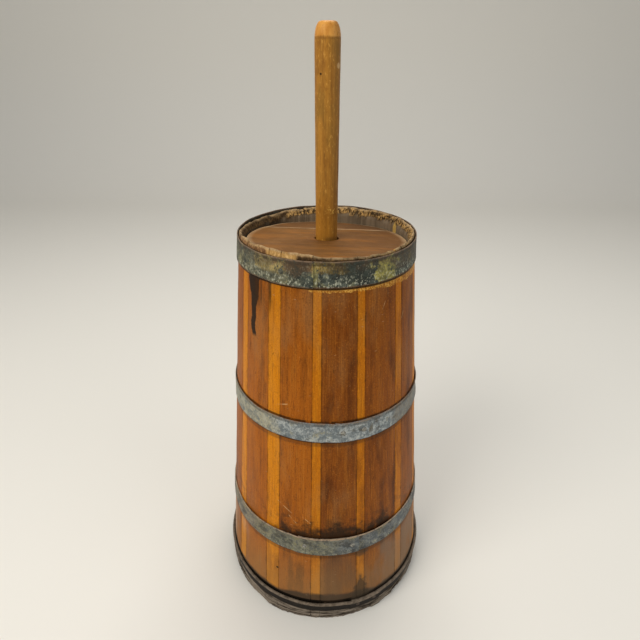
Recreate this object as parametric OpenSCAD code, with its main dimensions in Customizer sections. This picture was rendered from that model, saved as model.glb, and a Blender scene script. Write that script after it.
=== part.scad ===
// Dash churn: a tapering tub of cedar and pine staves held by four metal hoops,
// a two-board lid that lies a little cocked inside the rim, and a cross dasher on a long round shaft.
// Millimetres. Z is up, the origin is the centre of the foot on the floor, and -Y is the front.

/* [Tub] */
// Height of the staves
body_h = 532; // [440:1:640]
// Outer radius of the staves at the floor
base_r = 151; // [125:0.5:182]
// Outer radius of the staves at the rim
rim_r = 103.5; // [86:0.5:125]
// Thickness of the staves at the foot and at the head
wall_t = 14; // [11.5:0.1:17]
// Thickness of the staves at the rim, above the lid ledge
rim_t = 6.5; // [5:0.1:8]
// Width of the ledge inside the rim that the lid lies on
ledge_w = 4; // [3.3:0.1:5]
// Mean width of a pine stave at the floor
pine_w = 15.8; // [13:0.1:19]
// Gap between neighbouring staves at the rim
stave_gap = 0.2; // [0.1:0.05:0.4]

/* [Bottom head] */
// Thickness of the bottom head
head_t = 16; // [13:0.5:20]
// Height of the head's underside above the floor
head_z = 20; // [16:0.5:24]
// Height of the groove that holds the head
croze_w = 8; // [6:0.5:10]
// Depth of that groove in the wall
croze_d = 5; // [4:0.1:6]
// Width of the middle board of the head
head_board_w = 92; // [76:1:112]

/* [Hoops] */
// Width of the top and lower hoops
hoop_w = 28; // [23:0.5:34]
// Width of the middle hoop
middle_hoop_w = 26; // [21:0.5:31]
// Thickness of the hoop metal
hoop_t = 1.2; // [1:0.05:1.5]
// Distance from the rim down to the top hoop
top_hoop_drop = 3; // [2:0.1:6]
// Height of the middle hoop's lower edge
middle_hoop_z = 308.5; // [255:0.5:372]
// Height of the lower hoop's lower edge
lower_hoop_z = 125; // [104:0.5:150]
// Width of the foot hoop
foot_hoop_w = 16; // [13:0.5:20]
// Height of the foot hoop's lower edge
foot_hoop_z = 15; // [12:0.5:18]
// Radius of the rolled bead on the foot hoop
bead_r = 2.4; // [2:0.1:3]
// Length of the lap where a hoop's ends are riveted
lap_len = 44; // [36:1:54]
// Length of the lower hoop's lap, which is longer
long_lap_len = 82; // [68:1:98]
// Radius of a hoop rivet's head
rivet_head_r = 3.2; // [2.6:0.1:3.8]

/* [Lid] */
// Distance from the rim down to the lid's top, at the edge that lies on the ledge
lid_drop = 23.5; // [19:0.5:29]
// Thickness of the lid boards
lid_t = 16; // [13:0.5:20]
// Depth of the lid's back board, front to back
lid_back_w = 46; // [39:0.5:55]
// Gap between the lid's edge and the rim wall
lid_gap = 1; // [0.8:0.1:1.5]
// Tilt of the lid, which lies cocked on the shaft with its front edge up
lid_tilt = 6; // [0:0.5:7]
// Direction of the lid's raised edge, in degrees from the front towards the left
lid_tilt_way = 13; // [0:1:30]
// Width of the battens under the lid
batten_w = 22; // [18:0.5:27]
// Thickness of the battens
batten_t = 10; // [8:0.5:12]
// Distance of each batten's centre line from the shaft's
batten_x = 30; // [28:0.5:36]

/* [Dasher] */
// Height of the shaft above the rim
handle_h = 208; // [173:1:250]
// Diameter of the shaft at its top
shaft_d = 27; // [22.6:0.2:32.4]
// Diameter of the shaft just above the cross
shaft_foot_d = 25; // [21:0.2:30]
// Smallest gap between the shaft and the tilted lid's hole
shaft_clear = 0.4; // [0.3:0.1:1.2]
// Height of the shaft's rounded end
dome_h = 17; // [14:0.5:21]
// Width of the cross arms
arm_w = 44; // [37:0.5:53]
// Thickness of the cross
arm_t = 22; // [18:0.5:27]
// Radius of the holes in the cross arms
arm_hole_r = 10; // [8:0.5:12]
// Diameter of the shaft's tenon in the cross
tenon_d = 18; // [15:0.5:20]

/* [Hidden] */
$fn = 96;
front = -90;             // direction of the front, in degrees from +X
seat_gap = 0.3;          // height of the lid above its ledge
rest_gap = 0.5;          // height of the dasher above the head
fit = 0.1;               // gap between fixed pieces that fit together
reach = 400;             // longer than any piece is across
mouth_h = lid_drop + lid_t + seat_gap;
ledge_z = body_h - mouth_h;
mouth_r = rim_r - rim_t;
ledge_r = mouth_r - ledge_w;
lid_r = mouth_r - lid_gap;
lid_z = ledge_z + seat_gap;
lid_mid_z = lid_z + lid_r * sin(lid_tilt) + lid_t / 2 * cos(lid_tilt);
rim_bevel = [3.5, 9];    // worn bevel inside the rim: its width and height
chime_bevel = [5, 12];   // bevel inside the foot: its width and height

// How wide each pine and each cedar stave is against the mean, going round from the front to the right.
pine_share = [0.86, 0.79, 0.98, 1.04, 0.91, 1.16, 0.83, 1.08, 0.93, 0.99, 0.89, 1.01, 1.12, 1.41];
cedar_share = [1.03, 1.14, 0.93, 0.99, 1.04, 0.94, 1.07, 0.97, 1.02, 0.95, 1.03, 0.96, 0.98, 0.97];
first_joint = front - 6.4;
pairs = len(pine_share);
pine_mean = pine_w / base_r * 180 / PI;
cedar_mean = (360 - pine_mean * total(pine_share, pairs)) / total(cedar_share, pairs);

cedar = "sienna";
pine = "darkorange";
board = "peru";
zinc = "lightslategray";
rust = "dimgray";

function total(values, count) = count == 0 ? 0 : values[count - 1] + total(values, count - 1);
function outer_r(z) = base_r + (rim_r - base_r) * z / body_h;
function inner_r(z) = outer_r(z) - wall_t;
function pine_start(i) = first_joint + pine_mean * total(pine_share, i) + cedar_mean * total(cedar_share, i);
function cedar_start(i) = pine_start(i) + pine_mean * pine_share[i];
function numbered(name, i) = str(name, i < 9 ? "0" : "", i + 1);

// ---- Staves: a stave is a slice of the turned wall, so its edges are radial and its faces round. ----

croze_z = head_z + (head_t - croze_w) / 2;

module wall_profile() {
    croze_top = croze_z + croze_w;
    polygon([
        [base_r, 0], [rim_r, body_h],
        [mouth_r + rim_bevel[0], body_h], [mouth_r, body_h - rim_bevel[1]],
        [mouth_r, ledge_z], [ledge_r, ledge_z],
        [inner_r(croze_top), croze_top], [inner_r(croze_top) + croze_d, croze_top],
        [inner_r(croze_top) + croze_d, croze_z], [inner_r(croze_z), croze_z],
        [inner_r(chime_bevel[1]), chime_bevel[1]], [inner_r(0) + chime_bevel[0], 0]
    ]);
}

module stave(start, width) {
    gap = stave_gap / rim_r * 180 / PI;
    rotate([0, 0, start + gap / 2]) rotate_extrude(angle = width - gap) wall_profile();
}

module cedar_stave(i) {
    color(cedar) stave(cedar_start(i), cedar_mean * cedar_share[i]);
}

module pine_stave(i) {
    color(pine) stave(pine_start(i), pine_mean * pine_share[i]);
}

// ---- Bottom head: three boards with a bevelled edge in the croze, joined by dowels. ----

head_r = inner_r(croze_z + croze_w) + croze_d - fit;
dowel_r = 3;
dowel_len = 36;
dowel_y = [-60, 60];

// The edge is bevelled on both faces down to a tongue that fills the croze.
module head_disc() {
    tongue_z = [croze_z + fit, croze_z + croze_w - fit];
    tongue_r = inner_r(croze_z + croze_w) - 1;
    shoulder_r = tongue_r - 5;
    rotate_extrude() polygon([
        [0, head_z], [shoulder_r, head_z],
        [tongue_r, tongue_z[0]], [head_r, tongue_z[0]],
        [head_r, tongue_z[1]], [tongue_r, tongue_z[1]],
        [shoulder_r, head_z + head_t], [0, head_z + head_t]
    ]);
}

// A dowel hole is fit wider and deeper than its dowel; grow is 0 for the dowel itself.
module dowels(grow) {
    for (side = [-1, 1], y = dowel_y)
        translate([side * head_board_w / 2, y, head_z + head_t / 2])
            rotate([0, 90, 0]) cylinder(r = dowel_r + grow, h = dowel_len + 2 * grow, center = true);
}

module head_board(from_x, to_x) {
    color(board) difference() {
        intersection() {
            head_disc();
            translate([from_x, -reach / 2, 0]) cube([to_x - from_x, reach, head_z + head_t + 1]);
        }
        dowels(fit / 2);
    }
}

// ---- Hoops: bands of sheet flared to the taper of the wall, with riveted lapped ends. ----

function hoop_inner(z) = outer_r(z) + fit;
function lap_angle(z) = (z == lower_hoop_z ? long_lap_len : lap_len) / hoop_inner(z) * 180 / PI;

top_hoop_z = body_h - top_hoop_drop - hoop_w;
top_lap = front - 6;
middle_lap = front + 27;
lower_lap = front + 20;
foot_lap = front + 33;
foot_band_w = foot_hoop_w - bead_r;
wall_lean = atan((base_r - rim_r) / body_h);
rivet_r = 1.6;
rivet_head_h = 1.5;
lap_gap = 0.05;
shank_h = 2 * hoop_t + lap_gap;
rivet_inset = 9;         // from each end of the lap

// The origin of what is placed here is on the inside of the hoop, with +Z pointing straight out of it.
module at_rivets(z, width, lap) {
    inset = rivet_inset / hoop_inner(z) * 180 / PI;
    for (back = [inset, lap_angle(z) - inset])
        rotate([0, 0, lap - back]) translate([hoop_inner(z + width / 2), 0, z + width / 2])
            rotate([0, 90 - wall_lean, 0]) children();
}

module band(z, width, from_r) {
    polygon([
        [hoop_inner(z) + from_r, z], [hoop_inner(z) + from_r + hoop_t, z],
        [hoop_inner(z + width) + from_r + hoop_t, z + width], [hoop_inner(z + width) + from_r, z + width]
    ]);
}

// The lap is a second layer over the band, riveted through, that ends at the angle given.
module lapped_hoop(z, width, lap) {
    difference() {
        union() {
            rotate_extrude() band(z, width, 0);
            rotate([0, 0, lap - lap_angle(z)])
                rotate_extrude(angle = lap_angle(z)) band(z, width, hoop_t + lap_gap);
        }
        at_rivets(z, width, lap) translate([0, 0, -hoop_t]) cylinder(r = rivet_r + fit / 2, h = 4 * hoop_t);
    }
}

module flat_hoop(z, width, lap) {
    color(zinc) lapped_hoop(z, width, lap);
}

module foot_hoop() {
    bead_z = foot_hoop_z + foot_band_w;
    color(rust) union() {
        lapped_hoop(foot_hoop_z, foot_band_w, foot_lap);
        rotate_extrude() translate([hoop_inner(bead_z) + bead_r, bead_z]) circle(r = bead_r);
    }
}

// The shank fills both layers, and the domed head stands on the lap.
module rivets(z, width, lap) {
    color(rust) at_rivets(z, width, lap) union() {
        cylinder(r = rivet_r, h = shank_h);
        translate([0, 0, shank_h]) cylinder(r1 = rivet_head_r, r2 = rivet_head_r / 2, h = rivet_head_h);
    }
}

// ---- Lid: two boards, with two battens screwed on from below. It is drawn level, then cocked. ----

lid_joint_y = lid_r - lid_back_w;
hole_r = shaft_d / 2 + lid_t / 2 * tan(lid_tilt) + shaft_clear;
batten_reach = ledge_r - 3;
screw_r = 1.8;
screw_head_r = 3.6;
screw_len = 20;
screw_y = [-62, -34, lid_joint_y + 10];

// Turns the level lid about its middle, so that its low edge is on the ledge and the far edge is up.
module cocked() {
    translate([0, 0, lid_mid_z]) rotate([0, 0, -lid_tilt_way]) rotate([-lid_tilt, 0, 0])
        rotate([0, 0, lid_tilt_way]) translate([0, 0, -lid_z - lid_t / 2]) children();
}

module screws(grow) {
    for (side = [-1, 1], y = screw_y) translate([side * batten_x, y, lid_z - batten_t]) {
        cylinder(r1 = screw_head_r + grow, r2 = screw_r + grow, h = 3);
        cylinder(r = screw_r + grow, h = screw_len + grow);
    }
}

module lid_board(from_y, to_y) {
    color(board) difference() {
        intersection() {
            translate([0, 0, lid_z]) cylinder(r = lid_r, h = lid_t);
            translate([-reach / 2, from_y, lid_z - 1]) cube([reach, to_y - from_y, lid_t + 2]);
        }
        translate([0, 0, lid_z - 1]) cylinder(r = hole_r, h = lid_t + 2);
        screws(fit);
    }
}

module lid_batten(side) {
    color(board) difference() {
        intersection() {
            translate([0, 0, lid_z - batten_t]) cylinder(r = batten_reach, h = batten_t);
            translate([side * batten_x - batten_w / 2, -reach / 2, lid_z - batten_t])
                cube([batten_w, reach, batten_t]);
        }
        screws(fit);
    }
}

// ---- Dasher: a turned shaft, tenoned and wedged into a cross of two halved arms. ----

dasher_z = head_z + head_t + rest_gap;
shoulder_z = dasher_z + arm_t;
shaft_top = body_h + handle_h;
arm_reach = ledge_r - 5;
arm_hole_x = 56;
wedge_h = 16;
wedge_t = [3, 1.2];      // thickness of the wedge at its head and at its tip
dome_steps = 12;
dome_flat = 0.42;        // share of the shaft's radius that is flat on top

// A quarter of a superellipse from the shaft's side to the small flat on its end.
function dome_point(i) = let (a = 90 * i / dome_steps, r = shaft_d / 2) [
    r * (dome_flat + (1 - dome_flat) * pow(cos(a), 0.75)),
    shaft_top - dome_h + dome_h * pow(sin(a), 0.9)
];

module wedge(grow) {
    rotate([90, 0, 0]) translate([0, 0, -(tenon_d / 2 - 1 + grow)])
        linear_extrude(tenon_d - 2 + 2 * grow) polygon([
            [-wedge_t[0] / 2 - grow, dasher_z], [wedge_t[0] / 2 + grow, dasher_z],
            [wedge_t[1] / 2 + grow, dasher_z + wedge_h + grow], [-wedge_t[1] / 2 - grow, dasher_z + wedge_h + grow]
        ]);
}

module dasher_shaft() {
    color("goldenrod") difference() {
        rotate_extrude() polygon(concat(
            [[0, dasher_z], [tenon_d / 2, dasher_z], [tenon_d / 2, shoulder_z], [shaft_foot_d / 2, shoulder_z]],
            [for (i = [0:dome_steps - 1]) dome_point(i)],
            [[shaft_d / 2 * dome_flat, shaft_top], [0, shaft_top]]
        ));
        wedge(fit / 2);
    }
}

// Each arm is cut half away where the other crosses it: keep_low leaves the lower half.
module dasher_arm(turn, keep_low) {
    notch_w = arm_w + fit;
    notch_z = dasher_z + (keep_low ? arm_t / 2 - fit / 2 : -1);
    color(board) rotate([0, 0, turn]) difference() {
        intersection() {
            translate([0, 0, dasher_z]) cylinder(r = arm_reach, h = arm_t);
            translate([-reach / 2, -arm_w / 2, dasher_z]) cube([reach, arm_w, arm_t]);
        }
        translate([-notch_w / 2, -notch_w / 2, notch_z]) cube([notch_w, notch_w, arm_t / 2 + 1]);
        translate([0, 0, dasher_z - 1]) cylinder(r = tenon_d / 2 + fit / 2, h = arm_t + 2);
        for (side = [-1, 1])
            translate([side * arm_hole_x, 0, dasher_z - 1]) cylinder(r = arm_hole_r, h = arm_t + 2);
    }
}

for (i = [0:pairs - 1]) cedar_stave(i);
for (i = [0:pairs - 1]) pine_stave(i);
head_board(-reach / 2, -(head_board_w + fit) / 2);  // head_board_left
head_board(-(head_board_w - fit) / 2, (head_board_w - fit) / 2);  // head_board_middle
head_board((head_board_w + fit) / 2, reach / 2);  // head_board_right
color(pine) dowels(0);  // head_dowels
flat_hoop(top_hoop_z, hoop_w, top_lap);  // top_hoop
rivets(top_hoop_z, hoop_w, top_lap);  // top_hoop_rivets
flat_hoop(middle_hoop_z, middle_hoop_w, middle_lap);  // middle_hoop
rivets(middle_hoop_z, middle_hoop_w, middle_lap);  // middle_hoop_rivets
flat_hoop(lower_hoop_z, hoop_w, lower_lap);  // lower_hoop
rivets(lower_hoop_z, hoop_w, lower_lap);  // lower_hoop_rivets
foot_hoop();
rivets(foot_hoop_z, foot_band_w, foot_lap);  // foot_hoop_rivets
cocked() lid_board(-reach / 2, lid_joint_y - fit);  // lid_front_board
cocked() lid_board(lid_joint_y, reach / 2);  // lid_back_board
cocked() lid_batten(-1);  // lid_batten_left
cocked() lid_batten(1);  // lid_batten_right
color(rust) cocked() screws(0);  // batten_screws
dasher_shaft();
dasher_arm(0, true);  // dasher_arm_lower
dasher_arm(90, false);  // dasher_arm_upper
color(pine) wedge(0);  // dasher_wedge
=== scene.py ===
"""A dash churn: a coopered tub, its hoops, a two-board lid and the dasher whose shaft comes up through it.

Metres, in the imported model's frame: Z is up, the origin is the centre of the foot and -Y is the front.
Angles round the tub are in degrees from the front, growing towards +X.
"""
import math

import bmesh
import bpy
import numpy as np
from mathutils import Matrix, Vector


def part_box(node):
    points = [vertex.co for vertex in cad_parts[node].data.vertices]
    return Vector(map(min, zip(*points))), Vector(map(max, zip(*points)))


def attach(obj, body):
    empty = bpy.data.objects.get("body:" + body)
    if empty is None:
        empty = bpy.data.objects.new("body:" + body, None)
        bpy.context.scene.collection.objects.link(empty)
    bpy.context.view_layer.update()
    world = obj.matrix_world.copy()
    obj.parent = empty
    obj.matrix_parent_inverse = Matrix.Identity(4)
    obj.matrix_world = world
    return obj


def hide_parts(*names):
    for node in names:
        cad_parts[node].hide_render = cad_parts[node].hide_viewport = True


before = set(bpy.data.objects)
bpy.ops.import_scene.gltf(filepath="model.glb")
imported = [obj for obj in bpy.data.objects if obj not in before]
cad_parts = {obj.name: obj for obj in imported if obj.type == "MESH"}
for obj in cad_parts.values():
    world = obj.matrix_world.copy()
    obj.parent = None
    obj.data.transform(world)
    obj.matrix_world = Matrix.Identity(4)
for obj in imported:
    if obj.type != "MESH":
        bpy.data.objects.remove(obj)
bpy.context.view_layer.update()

MM = 0.001


# ---- Studio: a pale floor that sweeps up into a backdrop, three large soft lamps and the camera. ----
# The floor is plain paper on a studio table. Nothing here is part of the churn.

def link_mesh(name, vertices, faces):
    """Puts vertices and faces in a new object, smooth where its faces meet at less than 38 degrees."""
    mesh = bpy.data.meshes.new(name)
    mesh.from_pydata(vertices.tolist(), [], faces)
    mesh.validate()
    mesh.shade_smooth()
    mesh.set_sharp_from_angle(angle=math.radians(38))
    piece = bpy.data.objects.new(name, mesh)
    bpy.context.scene.collection.objects.link(piece)
    return piece


def grid_faces(rows, columns, closed_rows=False, closed_columns=False):
    """Four-sided faces between neighbouring points of a grid, which may close on itself either way."""
    row = np.arange(rows if closed_rows else rows - 1)[:, None]
    column = np.arange(columns if closed_columns else columns - 1)[None, :]
    next_row, next_column = (row + 1) % rows, (column + 1) % columns
    corners = [row * columns + column, row * columns + next_column,
               next_row * columns + next_column, next_row * columns + column]
    return np.stack([np.broadcast_to(c, (row.size, column.size)).ravel() for c in corners], 1).tolist()


def paint(red, green, blue):
    """A colour given as it looks on a screen, 0 to 255, turned into the linear values that shaders take."""
    tone = np.array([red, green, blue]) / 255
    linear = np.where(tone > 0.04045, ((tone + 0.055) / 1.055) ** 2.4, tone / 12.92)
    return (*linear.tolist(), 1.0)


SWEEP_R, SWEEP_Y = 0.8, 2.0
FLOOR_HALF = 4.0
sweep = np.linspace(0, math.pi / 2, 13)
backdrop_y = np.concatenate([[-FLOOR_HALF, 0.0, 1.6], SWEEP_Y + SWEEP_R * np.sin(sweep),
                             [SWEEP_Y + SWEEP_R]])
backdrop_z = np.concatenate([[0.0, 0.0, 0.0], SWEEP_R - SWEEP_R * np.cos(sweep), [FLOOR_HALF]])
backdrop_x = np.linspace(-FLOOR_HALF, FLOOR_HALF, 5)
paper_points = np.stack([np.broadcast_to(backdrop_x, (backdrop_y.size, 5)),
                         np.broadcast_to(backdrop_y[:, None], (backdrop_y.size, 5)),
                         np.broadcast_to(backdrop_z[:, None], (backdrop_y.size, 5))], -1)
paper = link_mesh("studio_paper", paper_points.reshape(-1, 3), grid_faces(backdrop_y.size, 5))
paper_material = bpy.data.materials.new("studio_paper")
paper_material.use_nodes = True
paper_shader = paper_material.node_tree.nodes["Principled BSDF"]
paper_shader.inputs["Base Color"].default_value = paint(226, 221, 210)
paper_shader.inputs["Roughness"].default_value = 0.9
paper.data.materials.append(paper_material)


def soft_lamp(name, place, aim, size, power, tint):
    """A square area lamp at a place, turned to shine at another."""
    lamp = bpy.data.lights.new(name, "AREA")
    lamp.size, lamp.energy, lamp.color = size, power, tint
    holder = bpy.data.objects.new(name, lamp)
    holder.location = place
    way = np.subtract(aim, place)
    holder.rotation_euler = (math.pi - math.acos(way[2] / np.linalg.norm(way)), 0,
                             math.atan2(way[0], -way[1]) + math.pi)
    bpy.context.scene.collection.objects.link(holder)


MIDDLE = (0, 0, 0.35)
soft_lamp("key_lamp", (-1.3, -1.2, 1.9), MIDDLE, 1.3, 34, (1.0, 0.98, 0.95))
soft_lamp("fill_lamp", (1.8, -1.0, 1.2), MIDDLE, 1.6, 12, (0.95, 0.97, 1.0))
soft_lamp("top_lamp", (0.1, 0.7, 2.3), MIDDLE, 1.2, 22, (1.0, 1.0, 1.0))

world = bpy.data.worlds.new("studio_air")
world.use_nodes = True
world.node_tree.nodes["Background"].inputs["Color"].default_value = (0.80, 0.83, 0.87, 1)
world.node_tree.nodes["Background"].inputs["Strength"].default_value = 0.42
bpy.context.scene.world = world
bpy.context.scene.view_settings.view_transform = "Standard"

eye = bpy.data.cameras.new("camera")
eye.sensor_width = 36
eye.lens = 27.06
camera = bpy.data.objects.new("camera", eye)
camera.location = (0.0094, -0.5543, 0.7088)
camera.rotation_euler = (math.radians(90 - 28.68), 0, math.radians(1.77))
bpy.context.scene.collection.objects.link(camera)
bpy.context.scene.camera = camera


# ---- Staves: 14 wide ones of red cedar and 14 narrow ones of yellow pine, in turn round the tub. ----
# Each is a tapering slat, rounded outside and hollowed inside, planed to a radial joint. A groove near the
# foot takes the head, and a rebate below the rim takes the lid. Both ends are split, bruised and uneven.

TUB_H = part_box("cedar_stave_01")[1].z
FOOT_R = 0.151
RIM_R = 0.1035
WALL = 0.014
MOUTH_R = 0.097
LEDGE_W = 0.004
LEDGE_Z = 0.4922
MEAN_R = 0.127
CROZE = (0.024, 0.032, 0.005)     # the head's groove: its lower and upper edges, and its depth
FOOT_BEVEL = (0.012, 0.005)       # the bevel inside the foot: how far up it goes, and its depth
RIM_BEVEL = (0.009, 0.0035)       # the same at the rim
BEVEL_Z = TUB_H - RIM_BEVEL[0]
FOOT_HOOP = (0.015, 0.0286)       # the lower and upper edges of each hoop
LOWER_HOOP = (0.125, 0.153)
MIDDLE_HOOP = (0.3085, 0.3345)
TOP_HOOP = (0.501, 0.529)
rng = np.random.default_rng(41)


def smooth(value, low, high):
    """0 below low, 1 above high, and a smooth S between."""
    share = np.clip((np.asarray(value, float) - low) / (high - low), 0, 1)
    return share * share * (3 - 2 * share)


def ripple(first, second, seed, waves=9):
    """An uneven surface from -1 to 1: the mean of sine waves of random direction and phase, sharpened."""
    draw = np.random.default_rng(seed)
    total = 0
    for pitch in draw.uniform(0.6, 2.4, waves):
        turn, phase = draw.uniform(0, 2 * math.pi, 2)
        total = total + np.sin(pitch * (first * math.cos(turn) + second * math.sin(turn)) + phase)
    return np.tanh(total / math.sqrt(waves) * 1.2)


def turned_points(radius, turn, height):
    """Points at a radius and a height, turned about the tub's middle from the front, in radians."""
    return np.stack(np.broadcast_arrays(radius * np.sin(turn), -radius * np.cos(turn), height), -1)


def outer_radius(height):
    """The tub's outside: a straight taper from the foot to the rim."""
    return FOOT_R + (RIM_R - FOOT_R) * height / TUB_H


def span(node):
    """The first and last angle of a stave, read from its CAD solid."""
    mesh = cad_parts[node].data
    corners = np.empty(len(mesh.vertices) * 3)
    mesh.vertices.foreach_get("co", corners)
    corners = corners.reshape(-1, 3)
    middle = corners.mean(0)
    centre = math.degrees(math.atan2(middle[0], -middle[1]))
    turn = (np.degrees(np.arctan2(corners[:, 0], -corners[:, 1])) - centre + 180) % 360 - 180
    return centre + turn.min(), centre + turn.max()


OILED = (1.0, 0.72, 0.42, 1)      # how old oil and wax tint what a surface mirrors
WAXY = 1.27                       # their low refractive index, which keeps the sides from glaring

# The heights where the inside radius changes, that radius, and the heights of all the rings of points.
HAIR = 0.00005
turned_z = [0, FOOT_BEVEL[0], CROZE[0], CROZE[0] + HAIR, CROZE[1], CROZE[1] + HAIR,
            LEDGE_Z, LEDGE_Z + HAIR, BEVEL_Z, TUB_H]
turned_r = [outer_radius(0) - WALL + FOOT_BEVEL[1], outer_radius(FOOT_BEVEL[0]) - WALL,
            outer_radius(CROZE[0]) - WALL, outer_radius(CROZE[0]) - WALL + CROZE[2],
            outer_radius(CROZE[1]) - WALL + CROZE[2], outer_radius(CROZE[1]) - WALL,
            MOUTH_R - LEDGE_W, MOUTH_R, MOUTH_R, MOUTH_R + RIM_BEVEL[1]]
foot_rings = [0.0004, 0.0012, 0.0024, 0.0036, 0.0048, 0.006, 0.0074, 0.009, 0.0105, 0.0135, 0.015, 0.019]
rim_rings = TUB_H - np.array([0.0072, 0.0056, 0.0042, 0.003, 0.002, 0.0012, 0.0006, 0.0002])
ring_z = np.unique(np.concatenate([turned_z, foot_rings, np.arange(0.04, 0.49, 0.0075),
                                   np.arange(0.4975, 0.5225, 0.0025), rim_rings]))

# By angle, in millimetres: how far the staves stand above their turned height, and how far they splay below.
RIM_LIFT = ([-180, -150, -112, -80, -66, -34, -26, -6, 0, 40, 90, 140, 180],
            [-4.2, -6.4, -7.0, -1.6, 2.4, 2.8, 2.8, 2.2, -0.6, -1.0, -2.0, -3.6, -4.2])
FOOT_SPLAY = ([-180, -120, -60, -35, -31, -24, -12, 0, 15, 25, 29, 33, 38, 42, 44, 60, 120, 180],
              [0.6, 0.6, 1.4, 2.2, 4.4, 4.4, 3.0, 1.1, 0.4, 0.3, 2.0, 2.0, 0.4, 1.8, 0.2, 0.2, 0.6, 0.6])

# How pale each stave's wood is, from 0 to 1: the cedar ones, then the pine ones.
STAVE_TONE = [[0.04, 0.22, 0.26, 0.55, 0.35, 0.60, 0.20, 0.50, 0.40, 0.65, 0.35, 0.60, 0.85, 0.75],
              [0.25, 0.25, 0.25, 0.70, 0.45, 0.65, 0.35, 0.80, 0.45, 0.60, 0.50, 0.75, 0.90, 0.85]]


def stave(name, number, golden):
    """A stave as a grid: round its section (outside, edge, inside, edge) by up its height.

    The radius is the outside taper less a depth of the wall, which runs from 0 outside to 1 inside. The
    outer arrises drop by a quarter circle, the ends are rounded, and ripples wear the rim, foot and edges.
    """
    first, last = span(name)
    width = math.radians(last - first) * MEAN_R
    arris = 0.0006
    corner = np.array([0, 0.12, 0.32, 0.6, 1.0, 1.6]) * arris / width
    face_points = max(4, round(width / 0.0022))
    across = np.concatenate([corner, np.linspace(corner[-1], 1 - corner[-1], face_points)[1:-1],
                             1 - corner[::-1]])
    depth_steps = np.array([0.2, 0.5, 0.8])
    hollow = np.linspace(1, 0, max(3, across.size // 2))
    share = np.concatenate([across, np.ones(3), hollow, np.zeros(3)])[None, :]
    depth = np.concatenate([np.zeros(across.size), depth_steps, np.ones(hollow.size),
                            depth_steps[::-1]])[None, :]
    height = ring_z[:, None]
    angle = first + (last - first) * share
    outer = outer_radius(height)
    wall = outer - np.interp(height, turned_z, turned_r)
    on_face, on_back = depth == 0, depth == 1

    # The arrises, and the small waves of the planed face.
    edge = np.minimum(share, 1 - share) * width
    worn = arris * (0.75 + 0.5 * ripple(height * 90, number + share * 2, 500 + number))
    drop = worn - np.sqrt(np.maximum(worn ** 2 - np.maximum(worn - edge, 0) ** 2, 0))
    drop = (drop + 0.00012 * (1 + ripple(angle / 3, height * 60, 77 + number))) * on_face

    # The foot is splayed and worn in layers below its hoop, and stops short of the floor here and there.
    splay = np.interp(angle, *FOOT_SPLAY) * MM * (1 - smooth(height, 0.003, 0.0138))
    layered = 0.0007 * ripple(angle * 0.10, height * 800, 40)
    layered = layered + 0.0002 * ripple(angle * 1.1, height * 380, 40 + number)
    splay = splay + layered * (1 - smooth(height, 0.010, 0.0145))
    shortfall = 0.0009 * (1 + ripple(angle * 0.9, number * 2.0, 61))
    shortfall = shortfall * (1 - smooth(height, 0, FOOT_BEVEL[0]))

    # The rim is chipped, and stands higher or lower from stave to stave.
    chip = ripple(angle * 0.45, height * 260, 900 + number, 14)
    rim = smooth(height, LEDGE_Z + 0.004, TUB_H)
    rim_round = smooth(height, TUB_H - 0.0022, TUB_H)
    lift = (np.interp(angle, *RIM_LIFT) + rng.uniform(-0.5, 0.5)) * MM
    lift = lift + 0.0007 * ripple(angle * 0.35, number, 31) - 0.0008 * smooth(chip, 0.2, 0.9)
    wall = wall - 0.0012 * (chip + 0.3) * rim * (height > BEVEL_Z - 0.001)
    radius = outer + splay - drop - depth * wall - rim_round * (0.0009 * on_face - 0.0006 * on_back)
    up = height + lift * rim + shortfall

    # Each end is closed by a ring of points along the middle of the wall.
    turn = np.radians(angle)
    points = turned_points(radius, turn, up)
    rings, around = radius.shape
    caps = []
    for end, dome in ((0, 0.0), (-1, 0.0004)):
        caps.append(turned_points(outer[end] - wall[end] / 2, turn[0], up[end] + dome))
    points = np.concatenate([caps[0][None], points, caps[1][None]])
    faces = grid_faces(rings + 2, around, closed_columns=True)
    piece = link_mesh(name + "_wood", points.reshape(-1, 3), faces)

    break_line = BEVEL_Z - 0.0005 + 0.0016 * chip
    bare = smooth(height, break_line, break_line + 0.002)
    bare = bare * np.where(on_face, smooth(height, TUB_H - 0.003, TUB_H), 1)
    give_points(piece, radius.shape, "grain", (share - 0.5) * width + 0.09 * number, depth * WALL,
                height + 0.71 * number)
    give_points(piece, radius.shape, "bare", bare)
    give_points(piece, radius.shape, "worn", rim_round * (on_face | on_back))
    give_points(piece, radius.shape, "joint", 1 - smooth(edge, 0.0002, 0.0016))
    give_points(piece, radius.shape, "angle", angle)
    give_points(piece, radius.shape, "tone", STAVE_TONE[golden][number])
    close_seams(piece)
    piece.data.materials.append(golden_wood if golden else red_wood)
    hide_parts(name)
    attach(piece, "tub")


def give_points(piece, shape, name, *values, caps=1):
    """Gives every point of a piece a number, or three as a vector, that its material can read.

    The values cover a grid of the shape given, and the ring that closes each end repeats the end's own.
    """
    grids = [np.pad(np.broadcast_to(value, shape), ((caps, caps), (0, 0)), "edge") for value in values]
    kind, key = ("FLOAT", "value") if len(values) == 1 else ("FLOAT_VECTOR", "vector")
    mark = piece.data.attributes.new(name, kind, "POINT")
    mark.data.foreach_set(key, np.stack(grids, -1).astype(np.float32).reshape(-1))


def close_seams(piece):
    """Joins the points that lie on each other, which closes the surface, and turns its faces outwards."""
    shell = bmesh.new()
    shell.from_mesh(piece.data)
    bmesh.ops.remove_doubles(shell, verts=shell.verts, dist=1e-6)
    bmesh.ops.recalc_face_normals(shell, faces=shell.faces)
    shell.to_mesh(piece.data)
    shell.free()


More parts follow.
